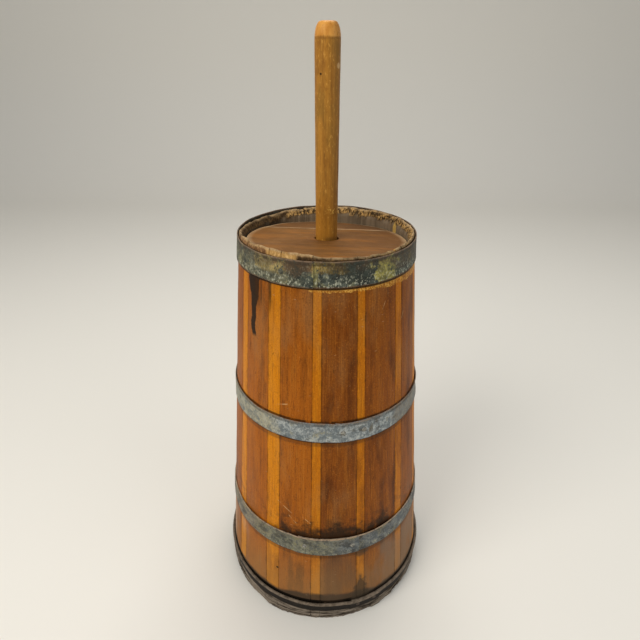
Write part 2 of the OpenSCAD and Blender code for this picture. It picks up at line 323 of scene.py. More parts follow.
class Number:
    """A value that varies over a surface. Arithmetic on it adds Math nodes to its finish."""

    def __init__(self, finish, socket):
        self.finish, self.socket = finish, socket

    def maths(self, operation, *others):
        sockets = dict(enumerate((self, *others)))
        made = self.finish.node("ShaderNodeMath", {"operation": operation}, sockets)
        return Number(self.finish, made.outputs[0])

    def __add__(self, other):
        return self.maths("ADD", other)

    def __sub__(self, other):
        return self.maths("SUBTRACT", other)

    def __mul__(self, other):
        return self.maths("MULTIPLY", other)

    def __truediv__(self, other):
        return self.maths("DIVIDE", other)

    def __rsub__(self, other):
        return self * -1 + other

    __radd__, __rmul__ = __add__, __mul__

    def at_least(self, other):
        return self.maths("MAXIMUM", other)

    def step(self, low, high):
        """0 below low, 1 above high and a smooth S between; the other way round if low is above high."""
        ends = {1: min(low, high), 2: max(low, high), 3: float(low > high), 4: float(low < high)}
        made = self.finish.node("ShaderNodeMapRange", {"interpolation_type": "SMOOTHSTEP"},
                                {0: self, **ends})
        return Number(self.finish, made.outputs[0])

    def within(self, low, high, soft):
        """1 between low and high, falling to 0 over soft beyond each."""
        return self.step(low - soft, low) * self.step(high + soft, high)


class Finish:
    """A material being built on one Principled shader. Its colour is laid on in coats, one over another."""

    def __init__(self, name, ior=1.5, tint=(1, 1, 1, 1)):
        self.material = bpy.data.materials.new(name)
        self.material.use_nodes = True
        self.tree = self.material.node_tree
        self.shader = self.tree.nodes["Principled BSDF"]
        self.wire(self.shader, {"IOR": ior, "Specular Tint": tint})
        self.place = self.node("ShaderNodeTexCoord").outputs["Object"]
        self.colour = None

    def wire(self, made, sockets):
        """Gives a node a value or a link for each socket named or numbered."""
        for key, value in sockets.items():
            value = value.socket if isinstance(value, Number) else value
            if isinstance(value, bpy.types.NodeSocket):
                self.tree.links.new(value, made.inputs[key])
            else:
                made.inputs[key].default_value = value

    def node(self, kind, settings=None, sockets=None):
        """Adds a node: its settings first, then what its sockets are wired to."""
        made = self.tree.nodes.new(kind)
        for setting, value in (settings or {}).items():
            setattr(made, setting, value)
        self.wire(made, sockets or {})
        return made

    def read(self, name, vector=False):
        made = self.node("ShaderNodeAttribute", {"attribute_name": name})
        return made.outputs["Vector"] if vector else Number(self, made.outputs["Fac"])

    def axis(self, letter, vector=None):
        made = self.node("ShaderNodeSeparateXYZ", None, {0: vector or self.place})
        return Number(self, made.outputs[letter])

    def stretched(self, vector, factors, shift=(0, 0, 0)):
        """A vector times one factor for each axis, plus a shift."""
        made = self.node("ShaderNodeVectorMath", {"operation": "MULTIPLY_ADD"},
                         {0: vector, 1: factors, 2: shift})
        return made.outputs[0]

    def noise(self, vector, scale, detail=3.0, roughness=0.55, distortion=0.0):
        made = self.node("ShaderNodeTexNoise", None, {"Vector": vector, "Scale": scale, "Detail": detail,
                                                      "Roughness": roughness, "Distortion": distortion})
        return Number(self, made.outputs[0])

    def near(self, point, radius, soft, ragged=0.0):
        """1 within a radius of a point, falling to 0 over soft beyond it, with a ragged edge if given."""
        gap = self.node("ShaderNodeVectorMath", {"operation": "DISTANCE"}, {0: self.place, 1: point})
        return (Number(self, gap.outputs["Value"]) + ragged).step(radius + soft, radius)

    def mix(self, share, first, second):
        """The first colour where share is 0, and the second where it is 1."""
        made = self.node("ShaderNodeMix", {"data_type": "RGBA"}, {0: share, 6: first, 7: second})
        return made.outputs[2]

    def lay(self, share, tone):
        """Lays a tone over the colour so far: fully where share is 1, and not at all where it is 0."""
        self.colour = self.mix(share, self.colour, tone)

    def finished(self, roughness, relief, depth, strength, metal=0.0):
        """Wires what varies to the shader, with the relief as bumps of the depth given."""
        bump = self.node("ShaderNodeBump", None,
                         {"Strength": strength, "Distance": depth, "Height": relief})
        self.wire(self.shader, {"Base Color": self.colour, "Roughness": roughness, "Metallic": metal,
                                "Normal": bump.outputs[0]})
        return self.material


FULL_TURN = 6.283


def wood_grain(wood, grain, ring_pitch, flow=0.9):
    """Bands, fibres, streaks and pores of wood whose grain runs along Z of the vector given.

    The bands are a sine across the width, bent by a slow noise. The others are noise drawn out along Z.
    """
    slow = wood.noise(wood.stretched(grain, (1, 1, 0.09)), 26, 2.0)
    across = wood.axis("X", grain) + wood.axis("Y", grain) * 0.6
    rings = across / ring_pitch + slow * (flow * 9)
    bands = (rings * FULL_TURN).maths("SINE") * 0.5 + 0.5
    fibres = wood.noise(wood.stretched(grain, (1, 1, 0.022)), 620, 3.0, 0.7)
    streaks = wood.noise(wood.stretched(grain, (1, 1, 0.03)), 150, 4.0, 0.65)
    pores = wood.noise(wood.stretched(grain, (1, 1, 0.06)), 1100, 1.0).step(0.60, 0.70)
    return bands, fibres, streaks, pores


class StaveWood(Finish):
    """The oiled and worn wood of a stave, with its stains, bare broken ends and dirty joints, and painted
    light and shade.

    Angles are in degrees round the tub, and heights in metres. Each method lays its own coats.
    """

    def __init__(self, name, ring_pitch):
        super().__init__(name, WAXY, OILED)
        self.grain = self.read("grain", vector=True)
        self.angle, self.height, self.tone = self.read("angle"), self.axis("Z"), self.read("tone")
        self.bands, self.fibres, self.streaks, self.pores = wood_grain(self, self.grain, ring_pitch)
        self.blotch = self.noise(self.stretched(self.place, (1, 1, 0.35)), 24, 4.0, 0.6)
        self.mottle = self.noise(self.place, 95, 4.0, 0.65)
        self.cloud = self.noise(self.stretched(self.grain, (1, 1, 0.22)), 52, 5.0, 0.62)
        self.drawn = self.noise(self.stretched(self.grain, (1, 1, 0.035)), 70, 3.0, 0.6)
        self.grit = self.noise(self.stretched(self.place, (1, 1, 0.7)), 760, 2.0, 0.6)
        self.foot = self.height.step(0.150, 0.05)
        self.bare = self.read("bare")

    def lay_wood(self, dark, deep, light, pale, grey, band_share):
        """The oiled wood, dark along its grain and pale where it is rubbed, and greyed towards the foot."""
        cloud, grit, blotch = self.cloud, self.grit, self.blotch
        self.colour = self.mix(self.tone, deep, light)
        self.lay((self.streaks + self.bands * band_share).step(0.60, 0.30) * 0.42, dark)
        self.lay((self.fibres * 0.6 + cloud * 0.5).step(0.5, 0.80) * 0.6, pale)
        self.lay((cloud * 0.8 + self.drawn * 0.5).step(0.66, 0.46) * 0.75, dark)
        self.lay((self.height * 2.2 + cloud * 0.5).step(1.05, 1.45) * 0.3, dark)
        self.lay(self.pores * 0.45, dark)
        self.lay(blotch.step(0.50, 0.72) * 0.35, grey)
        flecks = self.noise(self.stretched(self.grain, (1, 0, 0.30), (0.2, 0, 0)), 210, 2.0, 0.6)
        self.lay(flecks.step(0.70, 0.76) * blotch.step(0.40, 0.62) * 0.75, paint(58, 30, 8))
        self.lay(grit.step(0.56, 0.72) * 0.34, pale)
        self.lay(grit.step(0.45, 0.30) * 0.42, dark)
        self.lay(self.foot * (blotch * 0.6 + 0.30), grey)

    def lay_dirt_and_shade(self, dirt_and_shade):
        """Soot above the lower hoop, grime above the foot hoop and in the joints, and painted shade: in the
        groove over the foot hoop's bead and along the edges of the lower and middle hoops. Low down, a hazy
        film with a painted sheen.
        """
        angle, height, mottle, blotch = self.angle, self.height, self.mottle, self.blotch
        rise = (height - LOWER_HOOP[1]) * 48
        reach = angle.within(-20, 34, 16)
        soot = reach * 1.6 - rise + (mottle - 0.5) * 2.2 + (blotch - 0.5) * 2.0 - 0.4
        self.lay(soot.step(-0.35, 1.0) * height.within(0.150, 0.190, 0.004) * 0.93, paint(26, 15, 8))
        dusty = height.within(0.150, 0.170, 0.050) * (mottle * 0.7 + self.streaks * 0.5).step(0.52, 0.8)
        self.lay(dusty * 0.5, dirt_and_shade)
        deeper = angle.within(-14, 20, 12) * 0.008
        patchy = mottle * 0.6 + blotch * 0.5
        above_foot = (height - patchy * 0.013 - deeper).within(0.0, 0.027, 0.007)
        self.lay(above_foot * (mottle * 0.9 + 0.35).step(0.3, 0.65) * 0.88, paint(56, 50, 42))
        # Painted shadow: a near-black line on the wood in the groove just above the foot hoop's bead.
        self.lay(height.within(0.028, 0.0338, 0.0010), paint(12, 9, 7))
        lower, middle = LOWER_HOOP[0] + 0.001, MIDDLE_HOOP[0]
        # Painted shade: a soft darkening just below the lower and middle hoops in the grime tone, then dark
        # painted shadow lines along the lower hoop's lower edge and the middle hoop's lower and upper edges.
        shaded = height.within(0.118, lower, 0.003).at_least(height.within(0.302, middle, 0.003))
        self.lay(shaded * 0.40, dirt_and_shade)
        line = height.within(0.1225, lower, 0.0008).at_least(height.within(0.3060, middle, 0.0008))
        line = line.at_least(height.within(0.3340, 0.3364, 0.0008)) * mottle.step(0.32, 0.5)
        self.lay(line * 0.75, paint(30, 20, 11))
        # A hazy film low on the tub, darker at the front and grey on the right; the pale part on the left is
        # a painted sheen.
        haze_and_sheen = height.within(0.045, 0.108, 0.020) * blotch.step(0.36, 0.6)
        self.lay(haze_and_sheen * angle.within(3, 19, 4) * 0.45, paint(88, 68, 52))
        self.lay(haze_and_sheen * angle.within(-90, -58, 10) * 0.65, paint(184, 160, 138))
        self.lay(haze_and_sheen * angle.within(34, 90, 14) * 0.5, paint(124, 110, 94))
        self.lay(self.read("joint") * (mottle + self.streaks * 0.5).step(0.66, 0.98) * 0.5, dirt_and_shade)

    def lay_stains(self, black):
        """A black drip down the front left, a grey patch low on the front right, and a small hole, its shade
        painted as a black dot.
        """
        angle, height, mottle, streaks = self.angle, self.height, self.mottle, self.streaks
        wandering = angle + self.noise(self.stretched(self.place, (0, 0, 1)), 60, 3.0) * 5 - 2.5
        spread = height.step(0.455, 0.500) * 3.2
        self.drip = ((wandering + 46.7).maths("ABSOLUTE") - spread).step(2.8, 1.5)
        self.drip = self.drip * height.step(0.418, 0.436)
        self.lay((self.drip * (streaks * 0.7 + 0.6)).step(0.3, 0.75) * 0.95, black)
        smear = wandering.within(-44, -33, 3) * height.step(0.455, 0.485)
        self.lay(smear * (self.drawn * 0.7 + streaks * 0.5).step(0.50, 0.66) * 0.9, paint(52, 28, 8))
        widening = (0.073 - height) * 120
        patch = (angle - 21.5).maths("ABSOLUTE") - widening + (mottle - 0.5) * 7
        patch = patch.step(2.2, -0.6) * height.step(0.080, 0.070)
        spot = self.near((0.0527, -0.1306, 0.119), 0.0065, 0.005, (mottle - 0.5) * 0.015)
        self.lay(patch.at_least(spot * 0.75) * 0.86, paint(64, 54, 42))
        # Painted shade: the small hole is only a black dot standing for the shade inside it.
        self.lay(self.near((-0.0637, -0.1284, 0.0786), 0.0012, 0.0012), black)

    def lay_scratches(self):
        """Pale scratches across the grain, the long ones each by angle, height, slope and half length."""
        scratched = self.noise(self.stretched(self.grain, (0.35, 0, 1.6), (0, 0, 0.3)), 300, 1.0)
        self.scratch = scratched.step(0.735, 0.76)
        self.lay(self.scratch * 0.35, paint(196, 160, 116))
        for centre, level, slope, half in ((36.3, 0.473, 0.004, 0.7), (52.6, 0.449, 0.004, 1.1),
                                           (-22, 0.196, -0.0016, 4), (-16, 0.176, -0.0024, 3),
                                           (-9, 0.182, -0.002, 2), (-24, 0.352, 0.0006, 3)):
            aside = self.angle - centre
            off_line = (self.height - level - aside * slope + (self.blotch - 0.5) * 0.004).maths("ABSOLUTE")
            line = off_line.step(0.0012, 0.0003) * aside.within(-half, half, 0.6)
            self.lay(line * (self.mottle + self.fibres * 0.4).step(0.58, 0.78) * 0.6, paint(214, 172, 116))

    def lay_slipped_line(self):
        """The raw golden wood under the top hoop, which has slipped up the tub, and a dark painted shadow
        line just under the hoop.
        """
        angle, mottle, grit = self.angle, self.mottle, self.grit
        ragged = mottle * 0.0085 + 0.0004 + self.blotch * 0.002
        ragged = ragged + angle.step(20, 48) * 0.004 - angle.step(2, -38) * 0.008
        slipped = (self.height - TOP_HOOP[0] + ragged).step(0.0, 0.0006)
        raw = self.mix(grit.step(0.42, 0.62), paint(164, 104, 28), paint(220, 168, 78))
        self.lay(slipped * (self.fibres * 0.5 + mottle).step(0.45, 0.85) * 0.8, raw)
        # Painted shadow: a near-black line on the wood just under the top hoop's lower edge.
        self.lay((self.height + grit * 0.0016).step(0.4986, 0.4994) * 0.92, paint(24, 16, 8))

    def lay_rim(self):
        """The dirty outside above the top hoop, the inside with painted light and shade, and the bare wood
        of the broken rim.

        The break is newest and palest on the front left, where slivers have split off.
        """
        angle, mottle = self.angle, self.mottle
        crumbs = self.noise(self.stretched(self.place, (1, 1, 0.6)), 420, 3.0, 0.7)
        speckle = (crumbs * 0.9 + mottle * 0.45).step(0.60, 0.86)
        above_top = self.height.step(TOP_HOOP[1] - 0.0007, TOP_HOOP[1] + 0.0003)
        self.lay(above_top * 0.9, self.mix(speckle, paint(52, 38, 24), paint(104, 76, 48)))
        bruised = self.mix(speckle, paint(104, 72, 44), paint(190, 144, 94))
        self.lay(above_top * angle.within(-72, -36, 3), bruised)
        split_off = self.mix(speckle, paint(176, 134, 76), paint(222, 180, 116))
        self.lay(above_top * angle.within(-35, -17, 2), split_off)

        # Painted light and shade inside: the inner wall is pale where light falls on it, at the back and
        # right, and dark elsewhere; dark streaks and a golden stripe are laid over it.
        lit = angle.within(-180, -150, 15).at_least(angle.within(80, 180, 12))
        inside_lit_and_shaded = self.mix(lit * (self.tone * 0.6 + 0.4), paint(58, 50, 38), paint(150, 130, 104))
        inside_lit_and_shaded = self.mix((self.streaks + self.blotch).step(0.8, 1.25) * 0.6, inside_lit_and_shaded, paint(50, 41, 30))
        inside_lit_and_shaded = self.mix(angle.within(115.6, 119.2, 0.5), inside_lit_and_shaded, paint(196, 160, 84))
        self.lay(self.axis("Y", self.grain).step(0.006, 0.011), inside_lit_and_shaded)

        golden = angle.within(-180, -152, 10).at_least(angle.within(40, 180, 20))
        old_break = self.mix(speckle * (golden * 0.8 + 0.2), paint(62, 47, 30), paint(208, 164, 98))
        new_break = self.mix(speckle, paint(128, 94, 56), paint(206, 166, 112))
        raw = self.mix(angle.within(-66, -8, 3), old_break, new_break)
        self.lay(self.bare * (mottle * 1.6).step(0.35, 0.72), raw)
        self.lay(self.read("worn") * (mottle * 1.3).step(0.4, 0.7) * 0.75, paint(170, 142, 104))

    def closed(self):
        """Greys the end below the foot hoop, which has weathered in layers, and wires the finish."""
        chime = self.height.step(FOOT_HOOP[0] + 0.001, FOOT_HOOP[0] - 0.001)
        layers = self.noise(self.stretched(self.place, (26, 26, 560)), 1.0, 4.0, 0.6)
        self.lay(chime, self.mix((layers * 0.9 + self.mottle * 0.35).step(0.46, 0.80), paint(44, 37, 31),
                                 paint(140, 127, 111)))
        grip = 0.40 + self.streaks * 0.22 + self.foot * 0.18 + self.bare * 0.25
        grip = grip + chime * 0.3 + self.drip * 0.1
        relief = self.fibres * 0.35 + self.streaks * 0.5 + self.mottle * (self.bare + chime) * 1.6
        relief = relief + layers * chime * 3 - self.pores * 0.25 - self.scratch * 0.3
        return self.finished(grip, relief, 0.0007, 0.7)


def stave_wood(name, ring_pitch, band_share, dark, deep, light, pale, grey):
    """All the coats of one kind of stave, in the order in which they came."""
    wood = StaveWood(name, ring_pitch)
    wood.lay_wood(dark, deep, light, pale, grey, band_share)
    wood.lay_dirt_and_shade(paint(38, 28, 18))
    wood.lay_stains(paint(22, 18, 14))
    wood.lay_scratches()
    wood.lay_slipped_line()
    wood.lay_rim()
    return wood.closed()


red_wood = stave_wood("red_cedar", 0.011, 0.12, paint(66, 29, 5), paint(120, 60, 10), paint(170, 92, 15),
                      paint(190, 118, 36), paint(146, 108, 66))
golden_wood = stave_wood("yellow_pine", 0.0065, 0.15, paint(120, 62, 4), paint(174, 96, 7),
                         paint(208, 126, 8), paint(226, 150, 30), paint(178, 124, 60))
for number in range(14):
    stave(f"cedar_stave_{number + 1:02d}", number, 0)
    stave(f"pine_stave_{number + 1:02d}", number, 1)


# ---- Bottom head: three scrubbed boards in the groove, and the dowels that join them. ----
# They keep their CAD shapes, which the tub hides but for the underside.

def board_wood(name, turn, dark, middle, pale):
    """Plain worn wood. A turn brings the direction of its grain to Z."""
    wood = Finish(name, WAXY, OILED)
    turned = wood.node("ShaderNodeMapping", None, {"Vector": wood.place, "Rotation": turn})
    bands, fibres, streaks, pores = wood_grain(wood, turned.outputs[0], 0.009, 0.6)
    blotch = wood.noise(wood.place, 30, 4.0, 0.6)
    wood.colour = wood.mix((streaks * 1.4 + bands * 0.4 - 0.35).step(0.0, 1.0), dark, middle)
    wood.lay((fibres + blotch * 0.5 - 0.35).step(0.1, 0.8) * 0.5, pale)
    wood.lay(pores * 0.4, dark)
    return wood.finished(0.55 + streaks * 0.25, fibres * 0.4 + streaks * 0.6 - pores * 0.3, 0.0006, 0.7)


def refinish(material, *nodes):
    """Gives CAD solids that keep their shape a better material."""
    for name in nodes:
        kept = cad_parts[name].data
        kept.materials.clear()
        kept.materials.append(material)


ALONG_Y = (math.radians(90), 0, 0)
ALONG_X = (0, math.radians(90), 0)
ALONG_Z = (0, 0, 0)
head_wood = board_wood("scrubbed_board", ALONG_Y,
                       paint(82, 60, 40), paint(124, 98, 70), paint(160, 134, 104))
dowel_wood = board_wood("dowel_birch", ALONG_X,
                        paint(128, 100, 66), paint(168, 136, 94), paint(196, 168, 128))
refinish(head_wood, "head_board_left", "head_board_middle", "head_board_right")
refinish(dowel_wood, "head_dowels")


# ---- Hoops: strips of zinc-coated sheet, bent round, lapped and riveted, then driven down the taper. ----
# The foot hoop is narrower, and its upper edge is rolled into a bead. The top hoop has gone green and black,
# the lower one sits loose on the left, and rust shows at the edges and the rivets.

SHEET = 0.0012
FIT = 0.0001
LAP_GAP = 0.00005
LAP = 0.044


def hoop(name, edges, lap_end, lap, metal, dents, looseness=None, bead=0.0):
    """A strip carried once round the tub and on over its own start.

    Its radius is the tub's at that height plus the fit. After a full turn it steps out by the sheet's
    thickness, so that the end lies on the start. Dents push it outwards, and its edges wander a little.
    """
    low, wide = edges[0], edges[1] - edges[0]
    lap_turn = math.degrees(lap / outer_radius(low))
    travel = np.linspace(0, 360 + lap_turn, 540)[:, None]
    angle = lap_end - lap_turn + travel
    over = smooth(travel, 360 - 5, 360 + 0.4) * (SHEET + LAP_GAP)
    if bead:
        roll = np.radians(np.linspace(205, -75, 22))
        swell = bead - 0.0004 * np.exp(-((roll - math.radians(38)) / 0.2) ** 2)
        out = np.concatenate([[0, 0], bead + swell * np.cos(roll), [SHEET, SHEET, SHEET * 0.5]])
        rise = np.concatenate([[0.0002, wide * 0.5], wide + swell * np.sin(roll), [wide * 0.55, 0.0002, 0]])
    else:
        up_face = np.linspace(0.0002, wide - 0.0002, 9)
        arris = np.array([0.2, 0.8]) * SHEET
        out = np.concatenate([np.zeros(9), arris, np.full(9, SHEET), arris[::-1]])
        rise = np.concatenate([up_face, [wide, wide], up_face[::-1], [0, 0]])
    out, rise = out[None, :], rise[None, :]
    height = low + rise
    share = rise / wide
    turn = np.radians(angle)
    ragged = 0.0003 * ripple(turn * 9, 0.0, dents) * (2 * share - 1)
    pushed = 0.00028 * (1 + ripple(turn * 7, share * 2.5, dents + 5))
    curl = 0.0005 * np.clip(share, 0, 1) ** 8 * (not bead)
    curl = curl * (1 + ripple(turn * 5, 0.0, dents + 9))
    if looseness:
        centre, spread, gap = looseness
        pushed = pushed + gap * np.exp(-((angle - centre) / spread) ** 2) * (0.35 + 0.65 * share)
    free = smooth(travel, 0, 3) * (1 - 0.7 * smooth(travel, 357, 363))
    radius = outer_radius(height) + FIT + out + over + (pushed + curl) * free
    points = turned_points(radius, turn, height + ragged)
    middle = np.broadcast_to(points.mean(1, keepdims=True), points.shape)
    points = np.concatenate([middle[:1], points, middle[-1:]])
    faces = grid_faces(*points.shape[:2], closed_columns=True)
    piece = link_mesh(name + "_strip", points.reshape(-1, 3), faces)
    give_points(piece, radius.shape, "sheet", turn * outer_radius(low), rise, out + dents * 0.31)
    give_points(piece, radius.shape, "angle", (angle + 180) % 360 - 180)
    give_points(piece, radius.shape, "share", share)
    close_seams(piece)
    piece.data.materials.append(metal)
    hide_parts(name)
    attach(piece, "tub")


def hoop_metal(name, base, spangle, stain, dark, stain_share, dark_share, speck_share, rust_share,
               edge_share, grime_share, marks):
    """Zinc-coated sheet: a mottled base with crystals, stains, black patches, pale specks and rusty edges.

    Each share says how much of the sheet is covered. A mark is a tinted patch: its first and last angles,
    its lower and upper share of the width, its colour and its strength.
    """
    finish = Finish(name)
    sheet = finish.read("sheet", vector=True)
    share, angle = finish.read("share"), finish.read("angle")
    broad = finish.noise(sheet, 46, 4.0, 0.6, 0.4)
    mottle = finish.noise(finish.stretched(sheet, (1, 0.8, 1), (3.1, 0.7, 0)), 150, 5.0, 0.68)
    fine = finish.noise(finish.stretched(sheet, (1, 0.6, 1), (7.7, 1.9, 0)), 560, 3.0, 0.7)
    blacks = finish.noise(finish.stretched(sheet, (1, 1, 1), (1.7, 5.3, 0)), 62, 5.0, 0.68)
    crystal = finish.node("ShaderNodeTexVoronoi", {"feature": "F1"}, {"Vector": sheet, "Scale": 260.0})
    crystal_tone = finish.node("ShaderNodeSeparateColor", None, {0: crystal.outputs["Color"]})
    cloudy = Number(finish, crystal_tone.outputs[0]) * 0.12 + mottle * 0.75 + fine * 0.55
    finish.colour = finish.mix(cloudy.step(0.58, 0.90), base, spangle)
    stained = (broad * 0.75 + mottle * 0.5).step(0.68 - stain_share, 0.78 - stain_share)
    finish.lay(stained * 0.85, finish.mix(fine.step(0.35, 0.65), base, stain))

    # The marks, which the black patches leave partly clear.
    covered = 0.0
    frayed = (broad - 0.5) * 26 + (mottle - 0.5) * 14
    for first, last, low, high, tint, strength in marks:
        place = (angle + frayed * min(1, (last - first) / 12)).within(first, last, (last - first) * 0.25)
        place = place * (share + (blacks - 0.5) * 0.9).within(low, high, 0.14)
        finish.lay(place * (mottle * 0.55 + fine * 0.75).step(0.48, 0.72) * strength, tint)
        covered = (place * strength * 0.45).at_least(covered)
    blackened = (blacks * 0.85 + fine * 0.3).step(0.70 - dark_share, 0.78 - dark_share) * (1 - covered)
    finish.lay(blackened * 0.85, dark)

    # Specks lie low on the band and grime high, and rust follows its edges. Under the top edge is painted
    # shade,
    #     and the edge itself is rubbed pale and carries a painted highlight.
    low_down = share.step(0.62, 0.0) * 0.75 + 0.25
    specks = (fine * 0.8 + mottle * 0.4).step(0.76 - speck_share, 0.80 - speck_share) * low_down
    finish.lay(specks * 0.8, paint(190, 190, 166))
    grimy = share.step(0.45, 1.0) * (blacks * 0.7 + mottle * 0.5).step(0.52, 0.72)
    finish.lay(grimy * grime_share, paint(84, 60, 32))
    edges = share.step(0.16, 0.0).at_least(share.step(0.86, 1.0))
    rust = (edges * 0.45 + mottle * 0.6).step(0.66 - rust_share, 0.84 - rust_share)
    finish.lay(rust * 0.85, finish.mix(fine, paint(52, 32, 16), paint(112, 74, 42)))
    # Painted shade under the top edge; the top edge is pale with wear and a painted highlight.
    shade = share.within(0.86, 0.96, 0.05) * mottle.step(0.36, 0.52)
    finish.lay(shade * (0.9 - edge_share), paint(44, 32, 18))
    rubbed_and_lit_edge = share.step(0.93, 0.985) * share.step(1.02, 1.0) * (mottle + fine * 0.5).step(0.5, 0.85)
    finish.lay(rubbed_and_lit_edge * edge_share, paint(176, 152, 124))
    grip = 0.46 + mottle * 0.28 + rust * 0.2 + stained * 0.1 + blackened * 0.05
    metal = 0.55 - stained * 0.3 - rust * 0.5 - blackened * 0.2
    relief = mottle * 0.6 + fine * 0.35 + rust * 0.4 - blackened * 0.2
    return finish.finished(grip, relief, 0.0006, 0.6, metal.at_least(0.0))


green_metal = hoop_metal(
    "green_zinc", paint(60, 66, 58), paint(116, 120, 106), paint(150, 138, 66), paint(20, 22, 14),
    stain_share=0.06, dark_share=0.15, speck_share=0.11, rust_share=0.06, edge_share=0.25, grime_share=0.8,
    marks=[(-78, -24, 0.0, 0.9, paint(132, 124, 92), 0.62), (-44, -26, 0.5, 1.0, paint(176, 152, 88), 0.9),
           (-24, -6, 0.6, 1.0, paint(104, 70, 34), 0.8), (-5.6, -3.6, 0.0, 0.9, paint(152, 144, 88), 0.9),
           (-3, 10, 0.66, 1.0, paint(156, 126, 44), 0.8), (10, 30, 0.2, 1.0, paint(20, 26, 12), 0.8),
           (32, 44, 0.0, 0.9, paint(168, 156, 72), 0.9), (48, 74, 0.3, 1.0, paint(78, 60, 38), 0.8)])
grey_metal = hoop_metal(
    "grey_zinc", paint(108, 116, 118), paint(186, 190, 186), paint(152, 142, 104), paint(66, 62, 50),
    stain_share=-0.02, dark_share=0.06, speck_share=0.05, rust_share=0.02, edge_share=0.35, grime_share=0.2,
    marks=[(-80, -34, 0.0, 1.0, paint(176, 164, 124), 0.6), (26, 28, 0.35, 0.6, paint(84, 70, 36), 0.8),
           (48, 80, 0.0, 1.0, paint(112, 98, 74), 0.7)])
dull_metal = hoop_metal(
    "dull_zinc", paint(82, 86, 86), paint(144, 144, 134), paint(156, 142, 84), paint(46, 44, 38),
    stain_share=0.02, dark_share=0.10, speck_share=0.05, rust_share=0.04, edge_share=0.9, grime_share=0.3,
    marks=[(-80, -38, 0.0, 1.0, paint(150, 130, 96), 0.5), (-38, 2, 0.1, 0.9, paint(140, 134, 92), 0.45),
           (10, 50, 0.3, 0.8, paint(92, 102, 110), 0.4)])


def foot_iron():
    """The foot hoop's black band, partly dark iron and partly painted shadow under the bead, and its paler,
    handled bead.
    """
    finish = Finish("foot_iron", WAXY)
    sheet, share = finish.read("sheet", vector=True), finish.read("share")
    mottle = finish.noise(sheet, 160, 4.0, 0.62)
    fine = finish.noise(finish.stretched(sheet, (0.3, 1, 1)), 620, 3.0, 0.6)
    bead = share.step(0.80, 0.90)
    # The band's near-black is partly dark iron and partly painted shadow under the bead.
    finish.colour = finish.mix((mottle + fine * 0.4).step(0.45, 0.95), paint(16, 12, 8), paint(38, 30, 22))
    rubbed = finish.mix((mottle + fine * 0.6).step(0.45, 1.0), paint(66, 57, 46), paint(128, 113, 96))
    finish.lay(bead, rubbed)
    return finish.finished(0.5 + mottle * 0.3, mottle + fine * 0.5, 0.0005, 0.6, bead * 0.3)


hoop("top_hoop", TOP_HOOP, -6, LAP, green_metal, 11)
hoop("middle_hoop", MIDDLE_HOOP, 27, LAP, grey_metal, 23)
hoop("lower_hoop", LOWER_HOOP, 20, 0.082, dull_metal, 37, looseness=(-88, 22, 0.0032))
hoop("foot_hoop", FOOT_HOOP, 33, LAP, foot_iron(), 51, bead=0.0020)


def rivet_metal(name, dark, pale):
    """Small round heads, mottled at their own scale."""
    finish = Finish(name)
    spots = finish.noise(finish.place, 500, 3.0)
    finish.colour = finish.mix(spots.step(0.35, 0.65), dark, pale)
    return finish.finished(0.55 + spots * 0.3, spots, 0.0003, 0.6)


green_rivet = rivet_metal("green_rivet", paint(52, 54, 42), paint(96, 94, 74))
grey_rivet = rivet_metal("grey_rivet", paint(96, 92, 82), paint(150, 146, 132))
rusty_rivet = rivet_metal("rusty_rivet", paint(44, 34, 26), paint(92, 74, 58))
refinish(green_rivet, "top_hoop_rivets")
refinish(grey_rivet, "middle_hoop_rivets", "lower_hoop_rivets")
refinish(rusty_rivet, "foot_hoop_rivets", "batten_screws")


# ---- Lid: a wide front board and a narrow back one, butted, on the ledge inside the rim. ----
# The wood is bare and brown, its arrises worn round, with the grain from side to side. Two battens, screwed
# on from below, hold the boards together, and the wide board has the shaft's hole.

LID_R = MOUTH_R - 0.001
LID_T = 0.016
LID_LOW, LID_TOP = -LID_T / 2, LID_T / 2
SHAFT_TOP_R = 0.0135
JOINT_Y = LID_R - 0.046
TILT, TILT_WAY = math.radians(6), math.radians(13)
LID_MIDDLE = LEDGE_Z + 0.0003 + LID_R * math.sin(TILT) + LID_T / 2 * math.cos(TILT)
HOLE_R = SHAFT_TOP_R + LID_T / 2 * math.tan(TILT) + 0.0004


def cocked(x, y, z):
    """Tips points of the level lid about its middle, so that its front left edge is up, and lifts them."""
    ahead = -(x * math.sin(TILT_WAY) + y * math.cos(TILT_WAY))
    aside = x * math.cos(TILT_WAY) - y * math.sin(TILT_WAY)
    tipped = ahead * math.cos(TILT) - z * math.sin(TILT)
    lifted = ahead * math.sin(TILT) + z * math.cos(TILT)
    return np.stack([aside * math.cos(TILT_WAY) - tipped * math.sin(TILT_WAY),
                     -aside * math.sin(TILT_WAY) - tipped * math.cos(TILT_WAY), LID_MIDDLE + lifted], -1)


